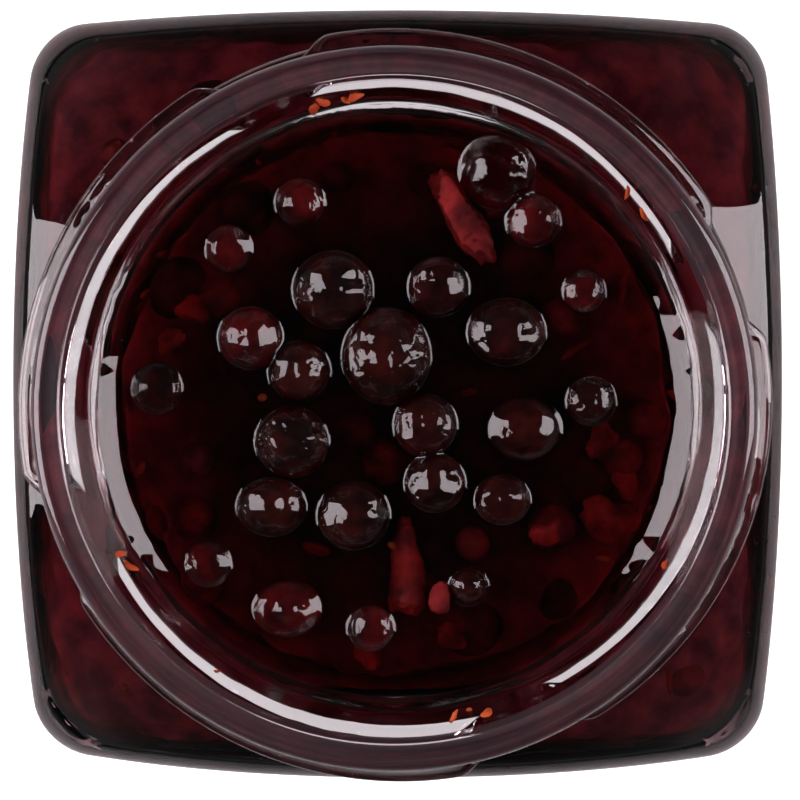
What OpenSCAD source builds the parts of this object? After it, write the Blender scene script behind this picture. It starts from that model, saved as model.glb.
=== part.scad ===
// Square glass jar with a round lug neck, open and filled with forest fruit jam.
// Units are millimetres. The jar stands on z = 0 with its axis along +Z.

/* [Body] */
// Width of the glass body across the middles of two facing sides
body_w = 66.4; // [60:0.1:80]
// Radius of each slightly bowed side
side_r = 450; // [250:10:900]
// Radius of the vertical edges
corner_r = 5.2; // [4:0.1:9]
// Height of the whole jar, from the floor to the top of the rim
jar_h = 98; // [85:1:130]
// Radius of the heel, where the walls turn into the base
heel_r = 5; // [3:0.5:7]
// Glass thickness of the walls
wall_t = 2.3; // [1.8:0.1:3]
// Radius of the cavity's vertical edges
inner_corner_r = 6.6; // [5:0.1:8]

/* [Base] */
// Glass thickness of the base
base_t = 4.2; // [3:0.1:6]
// How far the middle of the base is pushed up
push_up = 1.4; // [0.5:0.1:2.5]
// Width of the flat ring that the jar stands on
foot_w = 3; // [2:0.5:5]
// Radius between the cavity's floor and its walls
inner_heel_r = 6; // [4:0.5:8]

/* [Shoulder] */
// Slope of the domed shoulder where it leaves the neck
shoulder_slope = 24; // [10:1:30]
// Slope that the dome gains with each millimetre outwards, as a rise over a run
shoulder_bend = 0.042; // [0.02:0.002:0.06]
// Rounding between the shoulder and the walls
edge_round = 2; // [1.5:0.1:5]
// Radius of the fillet between shoulder and neck
neck_root_r = 1; // [0.5:0.1:2]

/* [Neck] */
// Outside diameter of the neck under the lugs
neck_d = 58.9; // [55:0.1:60]
// Height of the neck from the shoulder to the rim
neck_h = 17.5; // [16:0.5:22]
// Inside diameter of the mouth at the rim
mouth_d = 54; // [50:0.1:55]
// Diameter of the throat under the mouth's funnel
throat_d = 48.8; // [44:0.1:50]
// Height of the funnel that leads from the mouth down to the throat
funnel_h = 5.4; // [4:0.1:7]
// Outer rounding of the rim
rim_out_r = 1; // [0.6:0.1:1.2]
// Inner rounding of the rim
rim_in_r = 0.35; // [0.2:0.05:0.6]
// Diameter over the bead round the foot of the neck
bead_d = 60.9; // [60:0.1:62]
// Height of the bead
bead_h = 2.6; // [2:0.1:3]
// Depth of the bead's middle below the rim
bead_drop = 12.8; // [12:0.1:14]

/* [Lugs] */
// Number of closure lugs round the neck
lug_count = 4; // [3:1:4]
// Diameter over the lugs
lug_d = 62; // [60:0.1:64]
// Angle that each lug covers
lug_span = 79; // [40:1:80]
// Angle at which the first lug starts, at its low end
lug_start = 27; // [0:1:89]
// Depth below the rim of a lug's upper face at its high end
lug_top = 4; // [3:0.1:5]
// How much lower that upper face lies at the lug's other end
lug_top_fall = 4; // [2:0.1:5]
// Depth below the rim of a lug's lower face at its high end
lug_foot = 8; // [7:0.1:9]
// How much lower that lower face lies at the lug's other end
lug_foot_fall = 1.9; // [1:0.1:2.5]
// Angle over which each end of a lug runs out
lug_taper = 6; // [3:0.5:10]

/* [Jam] */
// Depth of the jam's level below the rim
headspace = 7.2; // [6:0.1:12]
// Height to which the jam creeps up the glass
creep_h = 1.8; // [0.5:0.1:2.5]
// Width of the band in which the jam curves up to the glass
creep_w = 2; // [1.5:0.1:3.5]

/* [Berries] */
// Overall factor on the diameter of the whole berries
berry_scale = 1; // [0.8:0.01:1]
// Radius of a berry's flat calyx scar, as a share of its own radius
calyx_share = 0.3; // [0.15:0.01:0.4]
// Depth of the calyx scar
calyx_depth = 0.25; // [0.1:0.05:0.4]

/* [Hidden] */
// Segments along each side and round each corner of the square rings
n_side = 10;
n_corner = 6;
n_ring = 4 * (n_side + n_corner);
// Steps round the heel, shoulder, neck root, bead, rim and creep curves
n_heel = 4;
n_shoulder = 7;
n_root = 2;
n_bead = 4;
n_rim = 3;
n_creep = 3;
// Stations along a lug
n_lug = 15;
// Steps from pole to pole of a berry's profile
n_berry = 12;

half_w = body_w / 2;
inner_half_w = half_w - wall_t;
neck_r = neck_d / 2;
mouth_r = mouth_d / 2;
throat_r = throat_d / 2;
rim_z = jar_h;
neck_z = rim_z - neck_h;
jam_z = rim_z - headspace;
// Foot of the mouth's funnel
funnel_z = rim_z - rim_in_r - funnel_h;
// The cavity's shoulder starts lower than the outer one, at the throat
throat_z = neck_z - 1.2;
// Slope and bend of the cavity's shoulder, and the rounding between it and the cavity's walls
inner_slope = 9;
inner_bend = 0.037;
inner_round = 2.5;
// How full the bead's half round is: less is squarer
bead_pow = 0.6;
floor_z = base_t;
// How deep a lug is rooted in the neck
lug_root = 0.8;
// How far under the neck's face a lug's own face lies where the lug runs out
lug_sink = 0.2;
// Thickness left at the ends of a lug, as a share of its full thickness
lug_thin = 0.55;
// Least radius of a square ring's corners
min_edge_r = 1.2;
// How far in from the edge of its flat part each dome of the base reaches its plateau
dome_w = 9;
// Height of that plateau, as a share of the push-up
dome_share = 0.85;
// Place on a ring of the point that lies on the first diagonal
diagonal_i = n_side + floor(n_corner / 2);
quarter_n = n_ring / 4;
// How sharply the jam turns up at the glass
creep_pow = 2.2;
// Distance of the four points that close the jam's level middle
hub_r = bore_at(jam_z + creep_h) - creep_w - 1.2;
// Radius of the throat that the berries and the fruit are listed for, and the factor that fits
// their places and sizes to the throat of this jar
listed_r = 24.4;
fit = throat_r / listed_r;

// Whole berries that stand out of the jam. Each row holds the place in X and Y, the radius,
// the height from calyx to stalk, how far the top stands above the jam, how far the calyx
// leans from upright and the direction in which it leans.
BERRIES = [
    [-5.1, 9.6, 3.1, 6.0, 1.7, 50, 275],
    [-11.9, 5.6, 2.45, 4.6, 1.3, 55, 300],
    [-7.9, 2.9, 2.2, 4.4, 1.4, 50, 265],
    [-0.7, 4.1, 3.5, 7.9, 1.8, 80, 285],
    [-8.5, -3.0, 2.8, 5.4, 1.6, 60, 280],
    [-10.2, -8.4, 2.7, 4.4, 1.3, 75, 285],
    [-3.4, -9.1, 2.7, 5.1, 1.6, 55, 270],
    [-9.0, -16.9, 2.9, 4.5, 0.8, 75, 280],
    [-15.5, -13.2, 1.8, 3.3, 0.5, 40, 200],
    [-2.0, -18.5, 1.7, 3.3, 0.6, 35, 320],
    [11.4, 15.3, 1.9, 3.9, 1.1, 45, 270],
    [3.6, 9.8, 2.4, 4.7, 0.8, 40, 255],
    [9.2, 6.1, 3.1, 5.2, 1.4, 70, 265],
    [15.6, 9.5, 1.5, 3.0, 0.5, 40, 300],
    [16.2, 0.4, 1.8, 3.5, 0.8, 60, 20],
    [2.5, -1.6, 2.4, 4.5, 1.2, 35, 220],
    [10.8, -1.9, 3.1, 5.0, 0.7, 60, 280],
    [3.3, -6.4, 2.3, 4.4, 1.0, 45, 270],
    [8.9, -7.8, 2.1, 3.7, 0.8, 75, 275],
    [6.1, -15.0, 1.2, 2.5, 0.9, 40, 300],
    [-7.8, 16.8, 1.8, 3.5, 0.7, 60, 100],
    [-13.7, 13.0, 1.8, 3.5, 0.4, 50, 130],
    [-19.7, 1.4, 1.9, 3.7, 0.9, 70, 180],
];

// Cut fruit pieces that reach the surface. Each row holds a name and the piece's rounded
// corners: the place of each in X and Y, its middle's depth under the jam and its radius.
FRUIT = [
    ["fruit_wedge", [[0.9, -10.4, 1.3, 0.8], [0.3, -16.0, 1.4, 1.3], [1.7, -16.3, 1.1, 0.95]]],
    ["fruit_strip", [[4.0, 18.4, 0.5, 1.1], [5.0, 15.6, 1.4, 1.5], [7.1, 13.2, 1.4, 1.1]]],
    ["fruit_bit", [[3.9, -15.3, 0.1, 0.75], [3.6, -16.6, 0.2, 0.8]]],
];

function berry_name(i) = str("berry_", i < 9 ? "0" : "", i + 1);

// ---- Outlines ----

// Middle of a corner arc that is tangent to two bowed sides
function corner_c(half, r) =
    let (k = side_r - half)
    (-k + sqrt(2 * pow(side_r - r, 2) - k * k)) / 2;

// One quarter of a square outline: the side that faces +X, then the corner after it
function quarter(half, r) =
    let (
        k = side_r - half,
        c = corner_c(half, r),
        a = atan2(c, c + k)
    )
    concat(
        [for (i = [0:n_side - 1])
            let (t = a * (2 * i / n_side - 1))
            [side_r * cos(t) - k, side_r * sin(t)]],
        [for (i = [0:n_corner - 1])
            let (t = a + (90 - 2 * a) * i / n_corner)
            [c + r * cos(t), c + r * sin(t)]]
    );

function turned(p, q) =
    [p[0] * cos(90 * q) - p[1] * sin(90 * q), p[0] * sin(90 * q) + p[1] * cos(90 * q)];

// The whole square outline, counter-clockwise
function square_ring(half, r) =
    let (pts = quarter(half, r))
    [for (q = [0:3]) for (p = pts) turned(p, q)];

OUTER = square_ring(half_w, corner_r);
INNER = square_ring(inner_half_w, inner_corner_r);

// A circle with its points at the same bearings as the square outline's
function round_ring(r) = [for (p = OUTER) r * p / norm(p)];

function lifted(ring, z) = [for (p = ring) [p[0], p[1], z]];

// ---- Ring stacks ----

// Radius of the mouth at height z: a funnel under the rim, then the straight throat
function bore_at(z) =
    throat_r + (mouth_r - throat_r) * min(1, max(0, (z - funnel_z) / funnel_h));

// Rings of a shoulder, from the walls up to the neck. It is a dome of revolution that starts at
// radius r and height z, slopes down at `slope` and steepens by `bend` for each millimetre
// outwards. A quarter round joins it to the walls, lower at the corners than at the sides.
function shoulder_rings(square, r, z, slope, bend, rounding) =
    [for (j = [n_shoulder:-1:0])
        let (share = sin(90 * j / n_shoulder), round_part = round_ring(r))
        [for (i = [0:n_ring - 1])
            let (
                p = round_part[i] + (square[i] - round_part[i]) * share,
                run = norm(p) - r,
                left = min(norm(square[i] - p), rounding),
                fall = rounding - sqrt(pow(rounding, 2) - pow(rounding - left, 2))
            )
            [p[0], p[1], z - tan(slope) * run - bend / 2 * run * run - fall]]];

// Rings of the outside, from the middle of the base up to the top of the rim
function outer_rings() = concat(
    [
        lifted(square_ring(half_w - heel_r - foot_w - dome_w, corner_r), push_up * dome_share),
        lifted(square_ring(half_w - heel_r - foot_w, corner_r), 0)
    ],
    [for (i = [0:n_heel])
        let (t = i / n_heel, s = heel_r * (1 - sin(90 * t)))
        lifted(square_ring(half_w - s, max(corner_r - s, min_edge_r)), heel_r * (1 - cos(90 * t)))],
    shoulder_rings(OUTER, neck_r + neck_root_r, neck_z, shoulder_slope, shoulder_bend, edge_round),
    [for (i = [1:n_root])
        let (t = i / n_root)
        lifted(round_ring(neck_r + neck_root_r * (1 - sin(90 * t))),
            neck_z + neck_root_r * (1 - cos(90 * t)))],
    [for (i = [0:n_bead])
        let (t = 180 * i / n_bead)
        lifted(round_ring(neck_r + (bead_d / 2 - neck_r) * pow(max(sin(t), 0), bead_pow)),
            rim_z - bead_drop - bead_h / 2 * cos(t))],
    [for (i = [0:n_rim])
        let (t = i / n_rim)
        lifted(round_ring(neck_r - rim_out_r * (1 - cos(90 * t))),
            rim_z - rim_out_r * (1 - sin(90 * t)))]
);

// Rings of the cavity, from the middle of its floor up to the height `top` in the mouth
function cavity_rings(top) = concat(
    [
        lifted(square_ring(inner_half_w - inner_heel_r - dome_w, inner_corner_r),
            floor_z + push_up * dome_share)
    ],
    [for (i = [0:n_heel])
        let (t = i / n_heel, s = inner_heel_r * (1 - sin(90 * t)))
        lifted(square_ring(inner_half_w - s, max(inner_corner_r - s, min_edge_r)),
            floor_z + inner_heel_r * (1 - cos(90 * t)))],
    shoulder_rings(INNER, throat_r, throat_z, inner_slope, inner_bend, inner_round),
    [if (top > funnel_z + 0.1) lifted(round_ring(throat_r), funnel_z)],
    [if (top < rim_z - rim_in_r - 0.1) lifted(round_ring(bore_at(top)), top)]
);

// Rings of the rim's inner rounding, from the top of the rim down to the mouth's funnel
function rim_rings() =
    [for (i = [0:n_rim])
        let (t = i / n_rim)
        lifted(round_ring(mouth_r + rim_in_r * (1 - sin(90 * t))),
            rim_z - rim_in_r * (1 - cos(90 * t)))];

function reversed(list) = [for (i = [len(list) - 1:-1:0]) list[i]];

// Side faces between each ring and the next one. The jar's cavity is stacked downwards and the
// jam upwards, so the jam's faces are split along the other diagonal to lie on the jar's.
function band_faces(rings, upwards = false) =
    [for (j = [0:rings - 2]) for (i = [0:n_ring - 1])
        let (a = j * n_ring + i, b = j * n_ring + (i + 1) % n_ring)
        each upwards
            ? [[a, a + n_ring, b], [a + n_ring, b + n_ring, b]]
            : [[a, a + n_ring, b + n_ring], [a, b + n_ring, b]]];

// Fans that close the first ring and the last one on the points at `first` and `last`
function fan_faces(rings, first, last) = concat(
    [for (i = [0:n_ring - 1]) [first, i, (i + 1) % n_ring]],
    [for (i = [0:n_ring - 1])
        let (b = (rings - 1) * n_ring)
        [last, b + (i + 1) % n_ring, b + i]]
);

// ---- Glass ----

// One lug: a rounded bar that follows its screw line round the neck and runs out at both ends
module lug(start) {
    reach = lug_d / 2 - neck_r;
    section = [[-0.5, -1], [0.55, -1], [1, -0.45], [1, 0.45], [0.55, 1], [-0.5, 1]];
    n_sec = len(section);
    stations = [for (j = [0:n_lug - 1])
        let (
            d = lug_span * j / (n_lug - 1),
            e = min(d, lug_span - d) / lug_taper,
            left = 1 - d / lug_span
        )
        [start + d, rim_z - lug_top - lug_top_fall * left, rim_z - lug_foot - lug_foot_fall * left,
            sin(90 * min(e, 1))]];
    points = [for (s = stations) for (p = section)
        let (
            r = neck_r + (p[0] < 0 ? -lug_root : (reach + lug_sink) * p[0] * s[3] - lug_sink),
            half_t = (s[1] - s[2]) / 2 * (lug_thin + (1 - lug_thin) * s[3])
        )
        [r * cos(s[0]), r * sin(s[0]), (s[1] + s[2]) / 2 + half_t * p[1]]];
    sides = [for (j = [0:n_lug - 2]) for (i = [0:n_sec - 1])
        let (a = j * n_sec + i, b = j * n_sec + (i + 1) % n_sec)
        each [[a, b, b + n_sec], [a, b + n_sec, a + n_sec]]];
    polyhedron(points, concat(
        sides,
        [[for (i = [n_sec - 1:-1:0]) i]],
        [[for (i = [0:n_sec - 1]) (n_lug - 1) * n_sec + i]]
    ), convexity = 4);
}

module jar() {
    rings = concat(outer_rings(), rim_rings(), reversed(cavity_rings(rim_z)));
    n = len(rings);
    points = concat(
        [for (r = rings) each r],
        [[0, 0, push_up], [0, 0, floor_z + push_up]]
    );
    color([0.86, 0.9, 0.9, 0.35]) union() {
        polyhedron(points, concat(band_faces(n), fan_faces(n, n * n_ring, n * n_ring + 1)),
            convexity = 10);
        for (i = [0:lug_count - 1]) lug(lug_start + 360 / lug_count * i);
    }
}

// ---- Berries and fruit ----

// Half outline of a berry, from the stalk end at the bottom to the calyx scar on top
function berry_profile(r, h) =
    let (scar = r * calyx_share)
    concat(
        [for (i = [0:n_berry])
            let (t = 180 * i / n_berry)
            if (r * sin(t) > scar || t < 90) [r * sin(t), -h / 2 * cos(t)]],
        [[scar, h / 2 * sqrt(1 - calyx_share * calyx_share)], [0, h / 2 - calyx_depth]]
    );

// Half the height of a leaning spheroid
function half_height(r, h, lean) = sqrt(pow(h / 2 * cos(lean), 2) + pow(r * sin(lean), 2));

module berry(b) {
    r = b[2] * berry_scale * fit;
    h = b[3] * berry_scale * fit;
    translate([b[0] * fit, b[1] * fit, jam_z + b[4] * fit - half_height(r, h, b[5])])
        rotate([0, b[5], b[6]])
            rotate_extrude() polygon(berry_profile(r, h));
}

module fruit(balls) {
    hull() for (b = balls)
        translate([b[0] * fit, b[1] * fit, jam_z - b[2] * fit]) sphere(b[3] * fit, $fn = 10);
}

// ---- Jam ----

// Faces of the jam's level middle: four hub points joined to the innermost ring
function level_faces(ring, hub) = concat(
    [for (i = [0:3]) for (j = [0:quarter_n - 1])
        let (
            a = ring + (i * quarter_n + diagonal_i + j) % n_ring,
            b = ring + (i * quarter_n + diagonal_i + j + 1) % n_ring,
            near = j < quarter_n / 2 ? i : (i + 1) % 4
        )
        [hub + near, b, a]],
    [for (i = [0:3])
        let (middle = ring + ((i + 0.5) * quarter_n + diagonal_i) % n_ring)
        [hub + i, hub + (i + 1) % 4, middle]],
    [[for (i = [3:-1:0]) hub + i]]
);

// The jam before the berries are cut out: it fills the cavity, lies level and creeps up the glass
module jam_body() {
    creep = [for (i = [1:n_creep])
        let (t = i / n_creep)
        lifted(round_ring(bore_at(jam_z + creep_h) - creep_w * t),
            jam_z + creep_h * pow(1 - t, creep_pow))];
    rings = concat(cavity_rings(jam_z + creep_h), creep);
    n = len(rings);
    hub = [for (i = [0:3]) let (t = 90 * i + 45) [hub_r * cos(t), hub_r * sin(t), jam_z]];
    points = concat([for (r = rings) each r], [[0, 0, floor_z + push_up]], hub);
    polyhedron(points, concat(
        band_faces(n, true),
        [for (i = [0:n_ring - 1]) [n * n_ring, i, (i + 1) % n_ring]],
        level_faces((n - 1) * n_ring, n * n_ring + 1)
    ), convexity = 6);
}

module jam() {
    color([0.2, 0.02, 0.04]) difference() {
        jam_body();
        for (b = BERRIES) berry(b);
        for (f = FRUIT) fruit(f[1]);
    }
}

jar();
jam();
for (i = [0:len(BERRIES) - 1])
    color([0.12, 0.02, 0.06]) berry(BERRIES[i]);
for (f = FRUIT)
    color([0.4, 0.04, 0.05]) fruit(f[1]);
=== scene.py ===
import bpy
import numpy as np
from mathutils import Matrix, Vector


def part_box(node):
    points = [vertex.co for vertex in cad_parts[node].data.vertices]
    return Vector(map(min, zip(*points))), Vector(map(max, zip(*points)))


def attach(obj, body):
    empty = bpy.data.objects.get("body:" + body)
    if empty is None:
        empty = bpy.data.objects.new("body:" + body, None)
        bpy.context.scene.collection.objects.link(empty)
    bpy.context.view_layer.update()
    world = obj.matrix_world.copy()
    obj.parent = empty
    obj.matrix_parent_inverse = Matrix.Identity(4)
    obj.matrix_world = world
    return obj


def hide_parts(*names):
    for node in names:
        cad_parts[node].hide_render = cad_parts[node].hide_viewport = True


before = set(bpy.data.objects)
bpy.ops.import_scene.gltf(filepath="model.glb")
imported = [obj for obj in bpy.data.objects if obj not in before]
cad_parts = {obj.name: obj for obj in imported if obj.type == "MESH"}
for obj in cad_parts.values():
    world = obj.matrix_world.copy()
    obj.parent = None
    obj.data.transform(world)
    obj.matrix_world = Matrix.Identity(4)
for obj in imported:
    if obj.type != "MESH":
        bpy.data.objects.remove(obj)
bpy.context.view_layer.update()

# ---- The glass jar ----
# One piece of pressed clear glass: a square body with bowed sides, a rounded shoulder and a round
# neck with four closure lugs. Its glass is thickest in the corners of the shoulder, its cavity is
# slightly wavy, and it stands on a flat ring round a pushed-up middle. It replaces the CAD jar.
MM = 0.001
jar_low, jar_high = (np.array(c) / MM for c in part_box("jar"))
half_w = (jar_high[0] - jar_low[0]) / 2
rim_z = jar_high[2]
side_bow, corner_r, inner_corner_r = 450.0, 5.2, 6.6
wall_t, base_t, push_up = 2.3, 4.2, 1.4
heel_r, foot_w, inner_heel_r = 5.0, 3.0, 6.0
neck_h, neck_root_r, wall_low_z = 17.5, 1.0, 62.0
dome_slope, dome_curve, edge_round = np.tan(np.radians(24)), 0.021, 2.0
inner_slope, inner_curve, inner_round = np.tan(np.radians(9)), 0.0185, 2.5
neck_r, bore_r, throat_r, rim_out_r, rim_in_r = 29.45, 27.0, 24.4, 1.0, 0.35
funnel_h, lip_h = 5.4, 1.1
bead_r, bead_half, bead_drop = 30.45, 1.3, 12.8
neck_z = rim_z - neck_h
throat_z = neck_z - 1.2
headspace, creep_h = 7.2, 1.5
level_z = rim_z - headspace
inner_half_w = half_w - wall_t
floor_z = base_t
lug_r, lug_span, lug_start, lug_taper = 31.0, 79.0, 27.0, 6.0
lug_top, lug_top_fall, lug_foot, lug_foot_fall = 4.0, 4.0, 8.0, 1.9
lug_edge_low, lug_edge_high = 0.3, 0.5
glass_bearings = 430
wave_depth, wave_length = 0.12, 20.0
least_corner_r = 1.2


def square_reach(bearing, half, corner):
    """Distance from the axis to a square outline with bowed sides and rounded corners.

    Each side is an arc of radius side_bow. Inside the corner's share of the bearings it gives way
    to an arc of radius `corner` that touches both sides.
    """
    turn = np.abs((bearing + np.pi / 4) % (np.pi / 2) - np.pi / 4)
    k = side_bow - half
    c = (-k + np.sqrt(2 * (side_bow - corner) ** 2 - k * k)) / 2
    tangent = np.arctan2(c, c + k)
    split = np.arctan2(side_bow * np.sin(tangent), side_bow * np.cos(tangent) - k)
    side = -k * np.cos(turn) + np.sqrt(side_bow**2 - (k * np.sin(turn)) ** 2)
    along = (np.cos(turn) + np.sin(turn)) * c
    edge = along + np.sqrt(np.maximum(along**2 - 2 * c * c + corner * corner, 0))
    return np.where(turn < split, side, edge)


def ripple(points, wave, seed, count=7):
    """Smooth uneven value in -1..1: the mean of sine waves in random directions, `wave` mm long."""
    rng = np.random.default_rng(seed)
    ways = rng.normal(size=(count, 3))
    ways *= 2 * np.pi / wave / np.linalg.norm(ways, axis=1, keepdims=True)
    ways *= rng.uniform(0.6, 1.5, size=(count, 1))
    phases = rng.uniform(0, 2 * np.pi, count)
    return np.sin(points @ ways.T + phases).sum(axis=-1) / np.sqrt(count * 2)


def smooth(x):
    """Rises from 0 to 1 with level ends."""
    x = np.clip(x, 0, 1)
    return x * x * (3 - 2 * x)


def shoulder_rings(bearing, square, start_r, start_z, slope, curve, rounding, steps, offset=0.0):
    """Rings of a shoulder from the neck out to the square walls, then down the walls.

    The shoulder is a dome of revolution whose slope grows evenly with the distance to the axis.
    A quarter round of radius `rounding` joins it to the walls, lower in the corners than in the
    middles of the sides. The rings are moved by `offset` along the surface's normal.
    """
    share = np.sin(np.linspace(0, 1, steps + 1) * np.pi / 2)[:, None]
    reach = start_r + (square - start_r) * share
    out = reach - start_r
    left = np.minimum(square - reach, rounding)
    fall = rounding - np.sqrt(rounding**2 - (rounding - left) ** 2)
    height = start_z - slope * out - curve * out**2 - fall
    d_reach, d_height = np.gradient(reach, axis=0), np.gradient(height, axis=0)
    d_reach[-1] = 0
    length = np.hypot(d_reach, d_height)
    reach, height = reach - offset * d_height / length, height + offset * d_reach / length
    shoulder = [ring(r, bearing, z) for r, z in zip(reach, height)]
    for s in np.linspace(0, 1, 5)[1:]:
        shoulder.append(ring(square + offset, bearing, height[-1] * (1 - s) + wall_low_z * s))
    return shoulder


def closed_rings(name, rows, top_pole, bottom_pole):
    """A closed surface from rings of equal count, closed by a fan at each end.

    `rows` is an array of rings, each an array of points in mm. The faces are turned to point
    outwards by the sign of the volume they enclose.
    """
    rows = np.asarray(rows, dtype=float)
    n_rows, n = rows.shape[:2]
    points = np.concatenate([rows.reshape(-1, 3), [top_pole, bottom_pole]])
    i = np.arange(n)
    j = (i + 1) % n
    r = np.arange(n_rows - 1)[:, None] * n
    quads = np.stack([r + i, r + j, r + j + n, r + i + n], axis=-1).reshape(-1, 4)
    first = np.stack([np.full(n, n_rows * n), j, i], axis=-1)
    last = np.stack([np.full(n, n_rows * n + 1), (n_rows - 1) * n + i, (n_rows - 1) * n + j], axis=-1)
    return closed_mesh(name, points, quads, np.concatenate([first, last]))


def closed_mesh(name, points, quads, triangles):
    """A smooth mesh object in metres, with its faces outwards."""
    split = np.concatenate([quads[:, [0, 1, 2]], quads[:, [0, 2, 3]], triangles])
    a, b, c = (points[split[:, k]] for k in range(3))
    if np.einsum("ij,ij->i", a, np.cross(b, c)).sum() < 0:
        quads, triangles = quads[:, ::-1], triangles[:, ::-1]
    mesh = bpy.data.meshes.new(name)
    mesh.from_pydata((points * MM).tolist(), [], quads.tolist() + triangles.tolist())
    mesh.polygons.foreach_set("use_smooth", np.ones(len(mesh.polygons), dtype=bool))
    mesh.update()
    piece = bpy.data.objects.new(name, mesh)
    bpy.context.scene.collection.objects.link(piece)
    return piece


def lug_lines(bearing):
    """Heights of a lug's upper and lower faces at each bearing, and how far it stands out, 0 to 1.

    Both faces climb along the lug, the upper one faster, and drop back in the gap to the next.
    """
    along = (np.degrees(bearing) - lug_start) % 90
    climb = np.where(along < lug_span, along / lug_span, 1 - smooth((along - lug_span) / (90 - lug_span)))
    out = smooth(np.minimum(along, lug_span - along) / lug_taper)
    upper = rim_z - lug_top - lug_top_fall * (1 - climb)
    return upper, rim_z - lug_foot - lug_foot_fall * (1 - climb), out


def ring(reach, bearing, height):
    """Points of one ring from its distance to the axis at each bearing, and its height."""
    level = np.broadcast_to(height, bearing.shape)
    return np.stack([reach * np.cos(bearing), reach * np.sin(bearing), level], -1)


def bore_reach(z):
    """Radius of the bore: a funnel that narrows evenly below the rim, then a straight throat."""
    return throat_r + (bore_r - throat_r) * np.clip((z - rim_z + rim_in_r) / funnel_h + 1, 0, 1)


def contact_z(bearing):
    """Height of the uneven line where the jam's skin ends on the bore."""
    spots = np.stack([26 * np.cos(bearing), 26 * np.sin(bearing), 0 * bearing], -1)
    return level_z + creep_h + 0.18 * ripple(spots, 9, 21) + 0.18 * np.abs(ripple(spots, 2.2, 22))


def cavity_rows(bearing, depth_in):
    """Rings of the cavity's wall from the bore's lower end down to its floor, set `depth_in` mm
    into the glass, or inwards where it is negative. Long low waves run over them."""
    square = square_reach(bearing, inner_half_w, inner_corner_r)
    rows = shoulder_rings(
        bearing, square, throat_r, throat_z, inner_slope, inner_curve, inner_round, 34, depth_in)
    for z in np.linspace(wall_low_z, floor_z + inner_heel_r, 13)[1:]:
        rows.append(ring(square + depth_in, bearing, z))
    for t in np.linspace(0, np.pi / 2, 10)[1:]:
        s = inner_heel_r * (1 - np.cos(t))
        shape = square_reach(bearing, inner_half_w - s, max(inner_corner_r - s, least_corner_r))
        z = floor_z - depth_in * np.sin(t) + inner_heel_r * (1 - np.sin(t))
        rows.append(ring(shape + depth_in * np.cos(t), bearing, z))
    for t in np.linspace(0, 1, 9)[1:-1]:
        shape = square_reach(bearing, inner_half_w - inner_heel_r, least_corner_r) * (1 - t)
        rows.append(ring(shape, bearing, floor_z - depth_in + push_up * smooth(t * 1.6)))
    rows = np.array(rows)
    out = np.linalg.norm(rows[..., :2], axis=-1, keepdims=True)
    turned = np.stack([np.cos(bearing), np.sin(bearing)], -1)
    spots = np.concatenate([turned * (out - depth_in), rows[..., 2:]], axis=-1)
    fade = smooth((throat_z - rows[..., 2:]) / 3) * smooth(out / 20)
    rows[..., :2] *= 1 + wave_depth * fade * ripple(spots, wave_length, 3)[..., None] / np.maximum(out, 1)
    return rows


bearing = np.linspace(0, 2 * np.pi, glass_bearings, endpoint=False)
outer_square = square_reach(bearing, half_w, corner_r)
rows = []


def round_row(reach, z):
    """Adds a ring at distance `reach` from the axis and height z to the rows of the glass."""
    rows.append(ring(reach + 0 * bearing, bearing, z))


for t in np.linspace(0, 1, 9)[1:]:
    reach = square_reach(bearing, half_w - heel_r - foot_w, corner_r) * t
    round_row(reach, push_up * smooth((1 - t) * 2.2))
for t in np.linspace(0, np.pi / 2, 12):
    s = heel_r * (1 - np.sin(t))
    shape = square_reach(bearing, half_w - s, max(corner_r - s, least_corner_r))
    round_row(shape, heel_r * (1 - np.cos(t)))
for z in np.linspace(heel_r, wall_low_z, 7)[1:-1]:
    round_row(outer_square, z)
shoulder = shoulder_rings(
    bearing, outer_square, neck_r + neck_root_r, neck_z, dome_slope, dome_curve, edge_round, 36)
rows += shoulder[:0:-1]
for t in np.linspace(0, np.pi / 2, 7):
    round_row(neck_r + neck_root_r * (1 - np.sin(t)), neck_z + neck_root_r * (1 - np.cos(t)))
bead_z = rim_z - bead_drop
for z in np.linspace(neck_z + neck_root_r, bead_z - bead_half, 6)[1:]:
    round_row(neck_r, z)
for t in np.linspace(0, np.pi, 18)[1:]:
    round_row(neck_r + (bead_r - neck_r) * np.sin(t) ** 0.6, bead_z - bead_half * np.cos(t))
lug_upper, lug_lower, lug_out = lug_lines(bearing)
lug_reach = (lug_r - neck_r) * lug_out
spots = ring(lug_r, bearing, 0.0)
lug_lower = lug_lower + 0.10 * ripple(spots, 5, 23) + 0.07 * ripple(spots, 1.6, 24)
for s in np.linspace(0, 1, 7)[1:]:
    round_row(neck_r, (bead_z + bead_half) * (1 - s) + lug_lower * s)
for t in np.linspace(0, np.pi / 2, 8)[1:]:
    round_row(neck_r + lug_reach * np.sin(t), lug_lower + lug_edge_low * (1 - np.cos(t)))
for s in np.linspace(0, 1, 8)[1:]:
    round_row(neck_r + lug_reach, (lug_lower + lug_edge_low) * (1 - s) + (lug_upper - lug_edge_high) * s)
for t in np.linspace(0, np.pi / 2, 8)[1:]:
    round_row(neck_r + lug_reach * np.cos(t), lug_upper - lug_edge_high * (1 - np.sin(t)))
for s in np.linspace(0, 1, 8)[1:]:
    round_row(neck_r, lug_upper * (1 - s) + (rim_z - rim_out_r) * s)
for t in np.linspace(0, np.pi / 2, 10)[1:]:
    round_row(neck_r - rim_out_r * (1 - np.cos(t)), rim_z - rim_out_r * (1 - np.sin(t)))
for t in np.linspace(0, np.pi / 2, 12):
    round_row(bore_r + rim_in_r * (1 - np.sin(t)), rim_z - rim_in_r * (1 - np.cos(t)))
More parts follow.
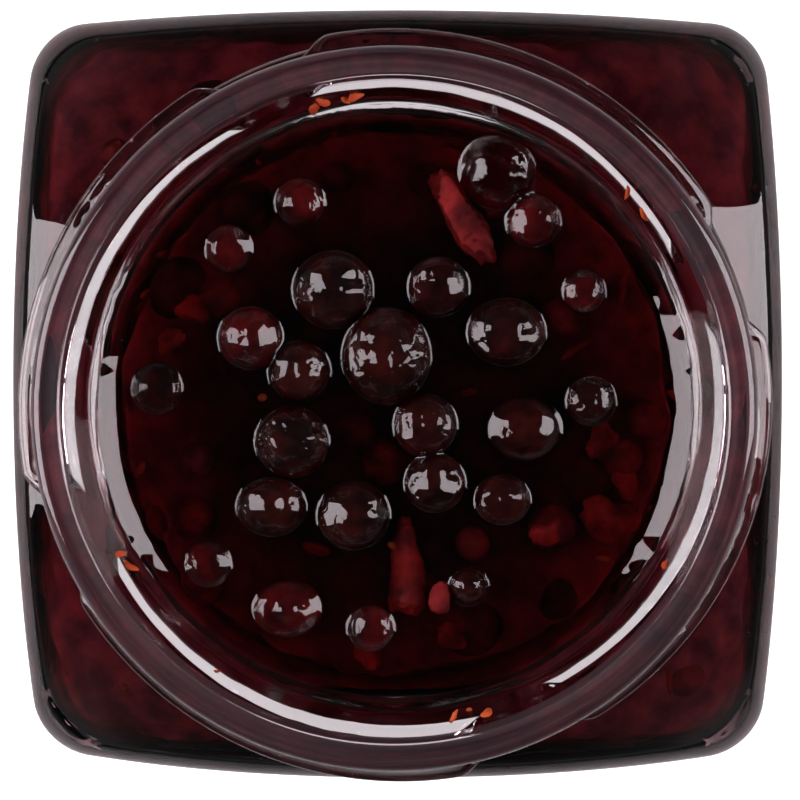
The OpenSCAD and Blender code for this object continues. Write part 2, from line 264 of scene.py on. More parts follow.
for s in np.linspace(0, 1, 8)[1:-1]:
    z = (rim_z - rim_in_r) * (1 - s) + contact_z(bearing) * s
    round_row(bore_reach(z), z)
n_dry = len(rows)
wet_bore = []
for s in np.linspace(0, 1, 9)[:-1]:
    z = contact_z(bearing) * (1 - s) + throat_z * s
    wet_bore.append(ring(bore_reach(z), bearing, z))
rows = np.concatenate([rows, wet_bore, cavity_rows(bearing, 0.0)])
jar = closed_rings("glass_jar", rows, [0, 0, push_up], [0, 0, floor_z + push_up])
face_row = np.arange(len(jar.data.polygons)) // glass_bearings
wet = ((face_row >= n_dry) & (face_row < len(rows) - 1)) | (face_row == len(rows))
row_low = np.append(rows[..., 2].min(axis=1), 0)
on_lip = (row_low[np.minimum(face_row, len(rows))] > rim_z - lip_h) & (face_row < n_dry)
jar.data.polygons.foreach_set("material_index", (wet + 2 * on_lip).astype(np.int32))
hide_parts("jar")
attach(jar, "root")


def new_material(name):
    """An empty node material with its Principled BSDF and its output."""
    material = bpy.data.materials.new(name)
    material.use_nodes = True
    tree = material.node_tree
    return material, tree, tree.nodes["Principled BSDF"], tree.nodes["Material Output"]


def add(tree, kind, **values):
    """A node with the given properties and input values."""
    made = tree.nodes.new(kind)
    for key, value in values.items():
        if hasattr(made, key):
            setattr(made, key, value)
        else:
            made.inputs[key.replace("_", " ")].default_value = value
    return made


glass, tree, shader, output = new_material("clear_pressed_glass")
shader.inputs["Base Color"].default_value = (0.985, 0.992, 0.988, 1)
shader.inputs["Transmission Weight"].default_value = 1.0
shader.inputs["IOR"].default_value = 1.5
shader.inputs["Roughness"].default_value = 0.0
place = add(tree, "ShaderNodeTexCoord")
waves = add(tree, "ShaderNodeTexNoise", Scale=190.0, Detail=0.0)
bump = add(tree, "ShaderNodeBump", Strength=0.10, Distance=0.001)
tree.links.new(place.outputs["Object"], waves.inputs["Vector"])
tree.links.new(waves.outputs["Fac"], bump.inputs["Height"])
tree.links.new(bump.outputs["Normal"], shader.inputs["Normal"])
jar.data.materials.append(glass)

# Where the jam wets the glass, light passes from glass to jelly with next to no reflection.
wet_glass, tree, shader, output = new_material("glass_wetted_by_jam")
shader.inputs["Base Color"].default_value = (0.985, 0.992, 0.988, 1)
shader.inputs["Transmission Weight"].default_value = 1.0
shader.inputs["IOR"].default_value = 1.5 / 1.45
shader.inputs["Roughness"].default_value = 0.0
jar.data.materials.append(wet_glass)

# The lip's glass carries pale streaks of painted light, a stand-in for light scattered inside the glass.
lip_glass_painted_light, tree, shader, output = new_material("glass_with_painted_light")
shader.inputs["Transmission Weight"].default_value = 0.96
shader.inputs["IOR"].default_value = 1.5
shader.inputs["Roughness"].default_value = 0.0
place = add(tree, "ShaderNodeTexCoord")
parts = add(tree, "ShaderNodeSeparateXYZ")
across = add(tree, "ShaderNodeVectorMath", operation="LENGTH")
level = add(tree, "ShaderNodeVectorMath", operation="MULTIPLY")
level.inputs[1].default_value = (1, 1, 0)
streak = add(tree, "ShaderNodeCombineXYZ")
# Streaks of painted light, pale lavender, running round the lip
painted_light_streaks = add(tree, "ShaderNodeTexNoise", Scale=22.0, Detail=4.0)
wide = add(tree, "ShaderNodeMath", operation="MULTIPLY")
wide.inputs[1].default_value = 60.0
# The ramp's colours are the painted scattered light, from dusky to pale lavender.
tint = add(tree, "ShaderNodeValToRGB")
tint.color_ramp.elements[0].position, tint.color_ramp.elements[0].color = 0.35, (0.42, 0.24, 0.30, 1)
tint.color_ramp.elements[1].position, tint.color_ramp.elements[1].color = 0.68, (0.95, 0.80, 0.88, 1)
tree.links.new(place.outputs["Object"], parts.inputs[0])
tree.links.new(place.outputs["Object"], level.inputs[0])
tree.links.new(level.outputs[0], across.inputs[0])
tree.links.new(across.outputs["Value"], wide.inputs[0])
tree.links.new(parts.outputs["X"], streak.inputs["X"])
tree.links.new(parts.outputs["Y"], streak.inputs["Y"])
tree.links.new(wide.outputs[0], streak.inputs["Z"])
tree.links.new(streak.outputs[0], painted_light_streaks.inputs["Vector"])
tree.links.new(painted_light_streaks.outputs["Fac"], tint.inputs["Fac"])
tree.links.new(tint.outputs["Color"], shader.inputs["Base Color"])
jar.data.materials.append(lip_glass_painted_light)

# ---- The whole berries at the surface ----
# Cooked bilberries, currants and a larger dark berry, soft and wrinkled, each with a calyx scar.
# They float half sunk in the jam. Each takes its place and size from its CAD node.
# Rows: calyx lean from upright and its bearing in degrees, depth of wrinkles in mm, skin.
SURFACE_BERRIES = {
    "berry_01": (50, 275, 0.10, "dark"), "berry_02": (55, 300, 0.07, "red"),
    "berry_03": (50, 265, 0.07, "dark"), "berry_04": (70, 285, 0.12, "dark"),
    "berry_05": (60, 280, 0.10, "dark"), "berry_06": (60, 285, 0.09, "dark"),
    "berry_07": (55, 270, 0.08, "dark"), "berry_08": (60, 280, 0.10, "red"),
    "berry_09": (40, 200, 0.08, "red"), "berry_10": (35, 320, 0.10, "red"),
    "berry_11": (45, 270, 0.10, "red"), "berry_12": (40, 255, 0.07, "dark"),
    "berry_13": (60, 265, 0.08, "dark"), "berry_14": (40, 300, 0.06, "red"),
    "berry_15": (60, 20, 0.09, "dark"), "berry_16": (35, 220, 0.12, "dark"),
    "berry_17": (50, 280, 0.12, "dark"), "berry_18": (45, 270, 0.08, "dark"),
    "berry_19": (60, 275, 0.08, "dark"), "berry_20": (40, 300, 0.05, "dark"),
    "berry_21": (60, 100, 0.10, "red"), "berry_22": (50, 130, 0.08, "red"),
    "berry_23": (70, 180, 0.12, "dark"),
}


def ball_rows(n_rings, n_round):
    """Unit sphere directions as rings between the poles, without the poles."""
    polar = np.linspace(0, np.pi, n_rings + 2)[1:-1, None]
    turn = np.linspace(0, 2 * np.pi, n_round, endpoint=False)[None, :]
    height = np.cos(polar) * np.ones_like(turn)
    return np.stack([np.sin(polar) * np.cos(turn), np.sin(polar) * np.sin(turn), height], -1)


def leaning(points, lean, turn):
    """Points turned so that +Z leans by `lean` degrees towards the bearing `turn`."""
    a, b = np.radians(lean), np.radians(turn)
    tip = np.array([[np.cos(a), 0, np.sin(a)], [0, 1, 0], [-np.sin(a), 0, np.cos(a)]])
    swing = np.array([[np.cos(b), -np.sin(b), 0], [np.sin(b), np.cos(b), 0], [0, 0, 1]])
    return points @ (swing @ tip).T


def berry_swell(unit, wrinkle, seed):
    """Radius of a berry in each direction, as a share of its size.

    A ball with a shallow calyx crater inside a low raised ring at +Z, gentle dents and a fine net
    of wrinkles.
    """
    from_calyx = np.arccos(np.clip(unit[..., 2], -1, 1))
    crater = -0.10 * np.exp(-((from_calyx / 0.22) ** 2))
    crater = crater + 0.035 * np.exp(-(((from_calyx - 0.36) / 0.09) ** 2))
    dents = 0.05 * ripple(unit, 2.2, seed)
    net = wrinkle * (np.abs(ripple(unit, 0.75, seed + 1, 9)) - 0.4)
    return 1 + crater + dents + net * 0.35


under_film = 0.975
skins = {"dark": [], "red": []}
berry_places = {}
for number, (name, (lean, turn, wrinkle, skin)) in enumerate(SURFACE_BERRIES.items()):
    low, high = (np.array(c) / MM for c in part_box(name))
    centre, semi = (low + high) / 2, (high - low) / 2
    berry_places[name] = (centre, semi)
    unit = ball_rows(44, 72)
    poles = np.array([[0, 0, 1.0], [0, 0, -1.0]])
    swollen = (v * berry_swell(v, wrinkle, 40 + number)[..., None] for v in (unit, poles))
    shaped, ends = (leaning(v, lean, turn) * semi * under_film + centre for v in swollen)
    piece = closed_rings("surface_" + name, shaped, ends[0], ends[1])
    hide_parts(name)
    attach(piece, "root")
    skins[skin].append(piece)


def wrinkle_group():
    """Node group for soft wrinkled fruit skin: a fine net of creases and blotches of colour."""
    group = bpy.data.node_groups.new("soft_skin", "ShaderNodeTree")
    for label, value in (("Crease Scale", 900.0), ("Blotch Scale", 350.0)):
        group.interface.new_socket(label, in_out="INPUT", socket_type="NodeSocketFloat").default_value = value
    group.interface.new_socket("Creases", in_out="OUTPUT", socket_type="NodeSocketFloat")
    group.interface.new_socket("Blotches", in_out="OUTPUT", socket_type="NodeSocketFloat")
    came = add(group, "NodeGroupInput")
    out = add(group, "NodeGroupOutput")
    place = add(group, "ShaderNodeTexCoord")
    net = add(group, "ShaderNodeTexVoronoi", feature="DISTANCE_TO_EDGE")
    warp = add(group, "ShaderNodeTexNoise", Scale=600.0, Detail=2.0)
    shift = add(group, "ShaderNodeVectorMath", operation="MULTIPLY_ADD")
    shift.inputs[1].default_value = (0.0012, 0.0012, 0.0012)
    blotches = add(group, "ShaderNodeTexNoise", Detail=3.0)
    group.links.new(place.outputs["Object"], warp.inputs["Vector"])
    group.links.new(warp.outputs["Color"], shift.inputs[0])
    group.links.new(place.outputs["Object"], shift.inputs[2])
    group.links.new(shift.outputs[0], net.inputs["Vector"])
    group.links.new(came.outputs["Crease Scale"], net.inputs["Scale"])
    group.links.new(net.outputs["Distance"], out.inputs["Creases"])
    group.links.new(place.outputs["Object"], blotches.inputs["Vector"])
    group.links.new(came.outputs["Blotch Scale"], blotches.inputs["Scale"])
    group.links.new(blotches.outputs["Fac"], out.inputs["Blotches"])
    return group


soft_skin = wrinkle_group()


def skin_material(name, dark, light, roughness):
    """Fruit skin whose colour runs between two shades in blotches, with fine creases."""
    material, tree, shader, output = new_material(name)
    skin = add(tree, "ShaderNodeGroup", node_tree=soft_skin)
    tint = add(tree, "ShaderNodeValToRGB")
    tint.color_ramp.elements[0].position, tint.color_ramp.elements[0].color = 0.36, (*dark, 1)
    tint.color_ramp.elements[1].position, tint.color_ramp.elements[1].color = 0.66, (*light, 1)
    bump = add(tree, "ShaderNodeBump", Strength=0.5, Distance=0.00012)
    tree.links.new(skin.outputs["Blotches"], tint.inputs["Fac"])
    tree.links.new(tint.outputs["Color"], shader.inputs["Base Color"])
    tree.links.new(skin.outputs["Creases"], bump.inputs["Height"])
    tree.links.new(bump.outputs["Normal"], shader.inputs["Normal"])
    shader.inputs["Roughness"].default_value = roughness
    shader.inputs["Specular IOR Level"].default_value = 0.05
    return material


dark_skin = skin_material("dark_berry_skin", (0.008, 0.0025, 0.0025), (0.045, 0.007, 0.005), 0.7)
red_skin = skin_material("red_berry_skin", (0.025, 0.003, 0.004), (0.11, 0.008, 0.009), 0.7)
for piece in skins["dark"]:
    piece.data.materials.append(dark_skin)
for piece in skins["red"]:
    piece.data.materials.append(red_skin)

# ---- The fruit pieces at the surface ----
# Torn strips of cooked red fruit, soft and rounded, that lie just under the skin of the jam.
FRUIT_PIECES = {"fruit_wedge": (0.16, 91), "fruit_strip": (0.18, 92), "fruit_bit": (0.10, 93)}
fruit_ends = {
    "fruit_wedge": ([0.9, -10.3, 0.7], [1.0, -16.5, 1.9]),
    "fruit_strip": ([4.0, 18.5, 1.2], [7.0, 13.1, 1.5]),
    "fruit_bit": ([3.9, -15.2, 0.8], [3.6, -16.7, 0.95]),
}
flesh_pieces = []
for name, (rough, seed) in FRUIT_PIECES.items():
    low, high = (np.array(c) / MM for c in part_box(name))
    start, stop = (np.array(v) for v in fruit_ends[name])
    mid_z = (low[2] + high[2]) / 2
    t = np.linspace(-1, 1, 42)[1:-1, None]
    around = np.linspace(0, 2 * np.pi, 48, endpoint=False)[None, :]
    way = (stop[:2] - start[:2]) / np.linalg.norm(stop[:2] - start[:2])
    side = np.array([-way[1], way[0]])
    share = (t + 1) / 2
    long_half = np.linalg.norm(stop[:2] - start[:2]) / 2 + (start[2] + stop[2]) / 2 * 0.75
    width = (start[2] + (stop[2] - start[2]) * share) * np.sqrt(1 - np.abs(t) ** 3.5)
    thick = (high[2] - low[2]) / 2 * np.sqrt(1 - np.abs(t) ** 3)
    u = np.broadcast_to(t * long_half, (40, 48))
    v, w = width * np.cos(around), thick * np.sin(around)
    centre = (start[:2] + stop[:2]) / 2
    across = centre[:, None, None] + way[:, None, None] * u + side[:, None, None] * v
    body = np.stack([*across, mid_z + w], -1)
    middle = np.array([*centre, mid_z])
    uneven = rough * ripple(body, 2.4, seed) + 0.4 * rough * ripple(body, 0.9, seed + 7)
    body += (body - middle) * uneven[..., None]
    ends = [np.array([*(centre - way * long_half), mid_z]), np.array([*(centre + way * long_half), mid_z])]
    piece = closed_rings("torn_" + name, body, ends[0], ends[1])
    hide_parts(name)
    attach(piece, "root")
    flesh_pieces.append(piece)

flesh = skin_material("cooked_fruit_flesh", (0.05, 0.004, 0.005), (0.20, 0.014, 0.014), 0.7)
for piece in flesh_pieces:
    piece.data.materials.append(flesh)

# ---- The clear jelly ----
# Dark red set jelly that fills the cavity. It wets the glass, so it reaches just into the wall,
# climbs the bore in a steep rim, and lies as a thin film over each berry that stands out of it.
jelly_bearings = 400
wall_reach = 0.06
climb_w = 1.7
film_t, film_blend = 0.20, 1.1
# The film's unevenness: depth, wave length and seed of each layer
film_waves = ((0.13, 2.8, 12), (0.06, 1.5, 13), (0.02, 0.8, 14))
# A large air bubble lifts the skin near the bore, modelled as a dome of jelly with no air inside:
# its middle and its half sizes
air_bubble = (np.array([8.6, 19.4, level_z - 0.4]), np.array([2.75, 2.75, 2.3]))


def film_height(x, y):
    """Height of the jelly's skin, and how much of it is film over a berry.

    The level middle and the climb at the bore are joined to a shell round each berry by a smooth
    maximum, which leaves the small fillet that surface tension makes.
    """
    out = np.hypot(x, y)
    contact = contact_z(np.arctan2(y, x))
    from_wall = np.maximum(bore_reach(contact) - out, 0)
    climb = (contact - level_z) * np.exp(-from_wall / climb_w)
    flat = level_z + climb + 0.03 * ripple(np.stack([x, y, 0 * x], -1), 9, 11) * smooth(from_wall / 3)
    height = flat
    film = np.zeros_like(x)
    for centre, semi in [*berry_places.values(), air_bubble]:
        shell = semi + film_t
        q = ((x - centre[0]) / shell[0]) ** 2 + ((y - centre[1]) / shell[1]) ** 2
        top = centre[2] + shell[2] * np.sqrt(np.maximum(1 - q, 0.02)) - 3 * np.maximum(q - 0.98, 0)
        both = np.maximum(height, top)
        gap = np.clip(1 - np.abs(height - top) / film_blend / 2, 0, 1)
        height = both + film_blend / 2 * gap**3
        film = np.maximum(film, smooth((top - flat) / 0.5 + 0.2))
    spots = np.stack([x, y, 0 * x], -1)
    uneven = sum(depth * ripple(spots, wave, seed) for depth, wave, seed in film_waves)
    return height + film * uneven, film


bearing = np.linspace(0, 2 * np.pi, jelly_bearings, endpoint=False)
share = np.linspace(0, 1, 151)[1:]
reach = (1 - (1 - share) ** 1.18)[:, None] * (bore_reach(contact_z(bearing)) + wall_reach)
x, y = reach * np.cos(bearing), reach * np.sin(bearing)
z, film = film_height(x, y)
top = np.stack([x, y, z], -1)
bore = []
for s in np.linspace(0, 1, 9)[1:-1]:
    height = z[-1] * (1 - s) + s * throat_z
    bore.append(ring(bore_reach(height) + wall_reach, bearing, height))
rows = np.concatenate([top, bore, cavity_rows(bearing, wall_reach)])
middle_z = film_height(np.zeros(1), np.zeros(1))[0][0]
jelly = closed_rings("clear_jelly", rows, [0, 0, middle_z], [0, 0, floor_z + push_up - wall_reach])
mask = np.zeros(len(jelly.data.vertices), dtype=np.float32)
mask[: film.size] = film.ravel()
layer = jelly.data.attributes.new("film", "FLOAT", "POINT")
layer.data.foreach_set("value", mask)
bare = np.zeros(len(jelly.data.vertices), dtype=np.float32)
bare[: film.size] = 1
bare[-2] = 1
layer = jelly.data.attributes.new("free_surface", "FLOAT", "POINT")
layer.data.foreach_set("value", bare)
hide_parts("jam")
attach(jelly, "root")

jelly_stuff, tree, shader, output = new_material("dark_red_jelly")
shader.inputs["Base Color"].default_value = (1, 1, 1, 1)
shader.inputs["Transmission Weight"].default_value = 1.0
shader.inputs["IOR"].default_value = 1.45
shader.inputs["Roughness"].default_value = 0.0
place = add(tree, "ShaderNodeTexCoord")
grains = add(tree, "ShaderNodeTexNoise", Scale=1100.0, Detail=1.5)
over = add(tree, "ShaderNodeAttribute", attribute_name="film")
# The jelly bends light at its open surface only. Where it meets the glass, the wetted faces of the
# glass bend it for both, so its own IOR is 1 there. Without this link its IOR is 1.45 all over.
free = add(tree, "ShaderNodeAttribute", attribute_name="free_surface")
bend = add(tree, "ShaderNodeMath", operation="MULTIPLY_ADD")
bend.inputs[1].default_value = 0.45
bend.inputs[2].default_value = 1.0
tree.links.new(free.outputs["Fac"], bend.inputs[0])
tree.links.new(bend.outputs[0], shader.inputs["IOR"])
depth = add(tree, "ShaderNodeMath", operation="MULTIPLY")
bump = add(tree, "ShaderNodeBump", Strength=1.0, Distance=0.00011)
tree.links.new(place.outputs["Object"], grains.inputs["Vector"])
tree.links.new(grains.outputs["Fac"], depth.inputs[0])
tree.links.new(over.outputs["Fac"], depth.inputs[1])
tree.links.new(depth.outputs[0], bump.inputs["Height"])
tree.links.new(bump.outputs["Normal"], shader.inputs["Normal"])
soak = add(tree, "ShaderNodeVolumeAbsorption", Color=(0.74, 0.20, 0.27, 1), Density=640.0)
tree.links.new(soak.outputs[0], output.inputs["Volume"])
jelly.data.materials.append(jelly_stuff)

# ---- The pulp ----
# The cooked fruit pulp in the middle of the jam: an opaque lumpy mass that stays a few
# millimetres behind the clear jelly at the glass and under its surface. Its colour darkens
# towards the axis: painted shade, as light reaches the jam mostly through the glass at its sides.
pulp_in, lid_in, lid_depth, lid_fall = 1.5, 1.6, 2.4, 1.5
pulp_middle = np.array([0, 0, 45.0])
bearing = np.linspace(0, 2 * np.pi, 300, endpoint=False)
walls = cavity_rows(bearing, -pulp_in)[:-4]
top_z = level_z - lid_depth
lid = []
for s in np.linspace(0, 1, 50)[1:]:
    lid.append(ring(np.full_like(bearing, (throat_r - lid_in) * s), bearing, top_z - lid_fall * s**5))
walls = walls[walls[..., 2].max(axis=1) < top_z - 2.0]
rows = np.concatenate([lid, walls])
lumps = 0.45 * ripple(rows, 9, 31) + 0.3 * ripple(rows, 4, 32)
outward = rows - pulp_middle
outward[..., 2] *= 0.4
outward /= np.linalg.norm(outward, axis=-1, keepdims=True)
rows = rows + outward * lumps[..., None]
pulp = closed_rings("fruit_pulp", rows, [0, 0, top_z + 0.3], [0, 0, floor_z + push_up + pulp_in])
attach(pulp, "root")
pulp_stuff = skin_material("fruit_pulp", (0.065, 0.020, 0.030), (0.17, 0.050, 0.060), 0.9)
tree = pulp_stuff.node_tree
shader = tree.nodes["Principled BSDF"]
fruit_tint = shader.inputs["Base Color"].links[0].from_socket
place = add(tree, "ShaderNodeTexCoord")
flat = add(tree, "ShaderNodeVectorMath", operation="MULTIPLY")
flat.inputs[1].default_value = (1, 1, 0)
out = add(tree, "ShaderNodeVectorMath", operation="LENGTH")
# Painted shade: scales the pulp's colour down towards the axis.
painted_axis_shade = add(tree, "ShaderNodeMapRange", interpolation_type="SMOOTHSTEP")
painted_axis_shade.inputs["From Min"].default_value, painted_axis_shade.inputs["From Max"].default_value = 0.013, 0.0235
painted_axis_shade.inputs["To Min"].default_value, painted_axis_shade.inputs["To Max"].default_value = 0.12, 1.0
shade = add(tree, "ShaderNodeVectorMath", operation="SCALE")
tree.links.new(place.outputs["Object"], flat.inputs[0])
tree.links.new(flat.outputs[0], out.inputs[0])
tree.links.new(out.outputs["Value"], painted_axis_shade.inputs["Value"])
tree.links.new(fruit_tint, shade.inputs[0])
tree.links.new(painted_axis_shade.outputs["Result"], shade.inputs["Scale"])
tree.links.new(shade.outputs[0], shader.inputs["Base Color"])
pulp.data.materials.append(pulp_stuff)

# ---- Sunk fruit ----
# Whole dark berries, red currants, shreds and larger soft chunks of red fruit that hang in the
# jelly near the glass and just under the surface, with the fruit's small pale seeds among them.


def scattered(name, places, sizes, turns, shape_rows, top, bottom):
    """One mesh of many copies of a small closed form, each at its own place, size and turn.

    `top` and `bottom` are the heights of the form's two poles.
    """
    n_rows, n = shape_rows.shape[:2]
    form = np.concatenate([shape_rows.reshape(-1, 3), [[0, 0, top], [0, 0, bottom]]])
    points = np.einsum("nij,vj->nvi", turns, form) * sizes[:, None, None] + places[:, None, :]
    i = np.arange(n)
    j = (i + 1) % n
    r = np.arange(n_rows - 1)[:, None] * n
    quads = np.stack([r + i, r + i + n, r + j + n, r + j], axis=-1).reshape(-1, 4)
    first = np.stack([np.full(n, n_rows * n), i, j], axis=-1)
    last = np.stack([np.full(n, n_rows * n + 1), (n_rows - 1) * n + j, (n_rows - 1) * n + i], axis=-1)
    triangles = np.concatenate([first, last])
    shift = (np.arange(len(places)) * len(form))[:, None, None]
    quads, triangles = (quads + shift).reshape(-1, 4), (triangles + shift).reshape(-1, 3)
    return closed_mesh(name, points.reshape(-1, 3), quads, triangles)


def spins(rng, count):
    """Random turns, from random unit quaternions."""
    q = rng.normal(size=(count, 4))
    a, b, c, d = (q / np.linalg.norm(q, axis=1, keepdims=True)).T
    return np.stack([
        np.stack([1 - 2 * (c * c + d * d), 2 * (b * c - a * d), 2 * (b * d + a * c)], -1),
        np.stack([2 * (b * c + a * d), 1 - 2 * (b * b + d * d), 2 * (c * d - a * b)], -1),
        np.stack([2 * (b * d - a * c), 2 * (c * d + a * b), 1 - 2 * (b * b + c * c)], -1),
    ], 1)


def reach_inside(bearing, z):
    """Distance from the axis to the cavity's wall at each bearing and height."""
    square = square_reach(bearing, inner_half_w, inner_corner_r)
    up = np.clip((z - wall_low_z) / (throat_z - wall_low_z), 0, 1)
    return throat_r + (square - throat_r) * np.sqrt(1 - up**2)


def by_the_glass(rng, count, size_range, gap_range):
    """Places near the cavity's wall that keep clear of each other."""
    places, sizes = [], []
    for _ in range(count * 12):
        if len(places) == count:
            break
        turn, z = rng.uniform(0, 2 * np.pi), rng.uniform(floor_z + 4, level_z - 4)
        size = rng.uniform(*size_range)
        out = reach_inside(np.array([turn]), z)[0] - size - rng.uniform(*gap_range)
        spot = np.array([out * np.cos(turn), out * np.sin(turn), z])
        if all(np.linalg.norm(spot - p) > (size + s) * 0.95 for p, s in zip(places, sizes)):
            places.append(spot)
            sizes.append(size)
    return np.array(places), np.array(sizes)


def under_the_surface(rng, count, size_range, depth_range, taken):
    """Places under the level that keep clear of the berries already there."""
    places, sizes = [], []
    for _ in range(count * 30):
        if len(places) == count:
            break
        turn, out = rng.uniform(0, 2 * np.pi), (throat_r - 2.5) * np.sqrt(rng.uniform())
        size = rng.uniform(*size_range)
        spot = np.array([out * np.cos(turn), out * np.sin(turn), level_z - size - rng.uniform(*depth_range)])
        if all(np.linalg.norm(spot - p) > (size + s) * 0.95 for p, s in taken + list(zip(places, sizes))):
            places.append(spot)
            sizes.append(size)
    return np.array(places), np.array(sizes)


taken = [(centre, float(semi.mean())) for centre, semi in berry_places.values()]
unit = ball_rows(15, 24)
berry_form = unit * berry_swell(unit, 0.1, 77)[..., None] * np.array([1, 1, 0.9])
# Rows: name, how many by the glass and under the surface, seed, sizes, gaps to the glass, depths,
# material and slot.
kinds = (
    ("sunk_dark_berries", 78, 5, 50, (2.4, 4.2), (0.25, 1.6), (1.0, 2.2), dark_skin, "dark_berry_skin"),
    ("sunk_red_currants", 60, 14, 51, (1.3, 2.3), (0.15, 1.2), (0.4, 1.8), red_skin, "red_berry_skin"),
)
for name, count, count_top, seed, size_range, gap_range, depth_range, stuff, slot in kinds:
    rng = np.random.default_rng(seed)
    places, sizes = by_the_glass(rng, count, size_range, gap_range)
    places_top, sizes_top = under_the_surface(rng, count_top, size_range, depth_range, taken)
    places, sizes = np.concatenate([places, places_top]), np.concatenate([sizes, sizes_top])
    piece = scattered(name, places, sizes, spins(rng, len(places)), berry_form, 0.81, -0.88)
    piece.data.materials.append(stuff)
    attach(piece, "root")

shred = ball_rows(11, 14) * np.array([1.0, 0.5, 0.22])
shred = shred * (1 + 0.25 * ripple(shred, 1.1, 5))[..., None]
rng = np.random.default_rng(60)
places, sizes = by_the_glass(rng, 90, (1.0, 2.8), (0.1, 1.0))
places_top, sizes_top = under_the_surface(rng, 12, (1.0, 2.6), (0.3, 1.4), taken)
places, sizes = np.concatenate([places, places_top]), np.concatenate([sizes, sizes_top])
shreds = scattered("red_fruit_shreds", places, sizes, spins(rng, len(places)), shred, 0.22, -0.22)
shred_stuff = skin_material("red_shred", (0.05, 0.004, 0.005), (0.15, 0.010, 0.012), 0.7)
shreds.data.materials.append(shred_stuff)
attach(shreds, "root")

# Larger soft chunks of red fruit close under the surface. Rows: place in X and Y, size, depth.
chunk_rows = np.array([
    (17.8, -9.6, 2.6, 0.9), (12.6, -10.6, 1.5, 0.6), (17.2, -3.0, 1.7, 1.1), (19.3, -6.6, 1.4, 1.3),
    (-16.6, 8.0, 1.6, 1.2), (-18.6, 5.4, 1.3, 0.9), (-2.2, -20.6, 1.6, 1.1), (4.6, -19.4, 1.4, 1.3),
])
chunk_form = ball_rows(17, 24) * np.array([1.0, 0.72, 0.38])
uneven = 0.30 * ripple(chunk_form, 1.0, 8) + 0.10 * ripple(chunk_form, 0.4, 9)
chunk_form = chunk_form * (1 + uneven)[..., None]
turn = np.radians(np.arange(len(chunk_rows)) * 47.0)
flat_turns = np.zeros((len(chunk_rows), 3, 3))
flat_turns[:, 0, 0], flat_turns[:, 0, 1] = np.cos(turn), -np.sin(turn)
flat_turns[:, 1, 0], flat_turns[:, 1, 1], flat_turns[:, 2, 2] = np.sin(turn), np.cos(turn), 1
places = np.column_stack([chunk_rows[:, :2], level_z - 0.4 * chunk_rows[:, 2] - chunk_rows[:, 3]])
chunks = scattered("sunk_fruit_chunks", places, chunk_rows[:, 2], flat_turns, chunk_form, 0.38, -0.38)
chunks.data.materials.append(flesh)
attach(chunks, "root")

seed_form = ball_rows(7, 10) * np.array([1.0, 0.55, 0.42])
rng = np.random.default_rng(61)
places, sizes = by_the_glass(rng, 70, (0.55, 0.8), (0.0, 0.6))
places_top, sizes_top = under_the_surface(rng, 4, (0.5, 0.7), (0.2, 0.8), taken)
places, sizes = np.concatenate([places, places_top]), np.concatenate([sizes, sizes_top])
seeds = scattered("berry_seeds", places, sizes, spins(rng, len(places)), seed_form, 0.42, -0.42)
seeds.data.materials.append(skin_material("pale_seed", (0.10, 0.02, 0.01), (0.22, 0.06, 0.02), 0.6))
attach(seeds, "root")

# ---- Jam left on the lip ----
# Small flat flecks of orange-red fruit that dried on the glass of the mouth's funnel.
fleck_turns = np.radians([38, 43, 97, 99, 103, 105, 208, 211, 281, 284, 287, 236, 330])
rng = np.random.default_rng(62)
fleck_size = rng.uniform(0.3, 0.8, len(fleck_turns))
fleck_depth, fleck_spread, fleck_proud = 2.2, 1.8, 0.12
fleck_z = rim_z - fleck_depth - rng.uniform(0, fleck_spread, len(fleck_turns))
fleck_form = ball_rows(9, 14) * np.array([1.0, 0.6, 0.3])
fleck_form = fleck_form * (1 + 0.3 * ripple(fleck_form, 1.0, 6))[..., None]
places = ring(bore_reach(fleck_z) - fleck_proud, fleck_turns, fleck_z)
turns = spins(rng, len(places))
flecks = scattered("dried_jam_flecks", places, fleck_size, turns, fleck_form, 0.3, -0.3)
flecks.data.materials.append(skin_material("dried_jam", (0.30, 0.035, 0.012), (0.55, 0.10, 0.03), 0.5))
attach(flecks, "root")

# ---- The studio ----
# A white table, two soft boxes low on either side, and a dark room above, so that the flat jelly
# stays dark and each berry shows a pale reflection on both its sides.
table_r = 1.6
jar_middle, lamp_away = Vector((0, 0, 0.09)), 0.5
floor_mesh = bpy.data.meshes.new("white_table")
turn = np.linspace(0, 2 * np.pi, 96, endpoint=False)
floor_mesh.from_pydata(ring(table_r, turn, 0.0).tolist(), [], [list(range(len(turn)))])
table = bpy.data.objects.new("white_table", floor_mesh)
bpy.context.scene.collection.objects.link(table)
table_stuff, tree, shader, output = new_material("white_table")
shader.inputs["Base Color"].default_value = (0.58, 0.58, 0.58, 1)
shader.inputs["Roughness"].default_value = 0.8
shader.inputs["Emission Color"].default_value = (1, 1, 1, 1)
path = add(tree, "ShaderNodeLightPath")
tree.links.new(path.outputs["Is Camera Ray"], shader.inputs["Emission Strength"])
floor_mesh.materials.append(table_stuff)

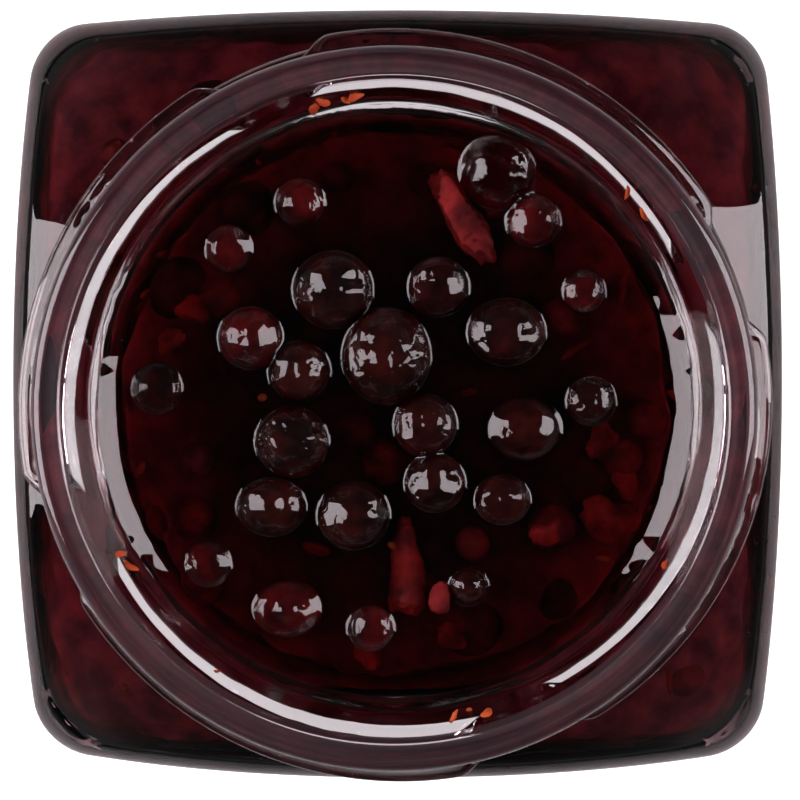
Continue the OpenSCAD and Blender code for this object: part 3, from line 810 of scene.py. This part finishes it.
room = bpy.data.worlds.new("dark_room")
bpy.context.scene.world = room
room.use_nodes = True
tree = room.node_tree
back = tree.nodes["Background"]
way = add(tree, "ShaderNodeTexCoord")
parts = add(tree, "ShaderNodeSeparateXYZ")
fade = add(tree, "ShaderNodeValToRGB")
stops = fade.color_ramp.elements
stops[0].position, stops[0].color = 0.0, (0.25, 0.24, 0.25, 1)
stops[1].position, stops[1].color = 0.55, (0.015, 0.015, 0.015, 1)
middle = stops.new(0.12)
middle.color = (0.10, 0.10, 0.10, 1)
tree.links.new(way.outputs["Generated"], parts.inputs[0])
tree.links.new(parts.outputs["Z"], fade.inputs["Fac"])
tree.links.new(fade.outputs["Color"], back.inputs["Color"])

for name, turn, rise, width, height, radiance in (
    ("right_softbox", 8, 30, 0.30, 0.44, 8.0),
    ("left_softbox", 178, 30, 0.36, 0.44, 8.0),
):
    lamp = bpy.data.lights.new(name, "AREA")
    lamp.shape = "RECTANGLE"
    lamp.size, lamp.size_y = width, height
    lamp.energy = radiance * np.pi * width * height
    lamp.color = (1.0, 0.90, 0.95)
    holder = bpy.data.objects.new(name, lamp)
    holder.visible_camera = False
    bpy.context.scene.collection.objects.link(holder)
    a, b = np.radians(turn), np.radians(rise)
    way = Vector((np.cos(a) * np.cos(b), np.sin(a) * np.cos(b), np.sin(b)))
    holder.location = jar_middle + way * lamp_away
    holder.rotation_euler = (-way).to_track_quat("-Z", "Y").to_euler()

# The camera hangs over the jar, a little towards +Y, and looks down at its shoulder.
lens = bpy.data.cameras.new("overhead_camera")
lens.lens = 165.4
lens.sensor_width = 36.0
camera = bpy.data.objects.new("overhead_camera", lens)
bpy.context.scene.collection.objects.link(camera)
stand = Vector((0.0043, 0.0185, 0.394))
target = Vector((0.0003, -0.0001, 0.081))
back_way = (stand - target).normalized()
right_way = Vector((0, 1, 0)).cross(back_way).normalized()
up_way = back_way.cross(right_way)
camera.matrix_world = Matrix((right_way, up_way, back_way)).transposed().to_4x4()
camera.location = stand
bpy.context.scene.camera = camera
bpy.context.scene.view_settings.view_transform = "Standard"
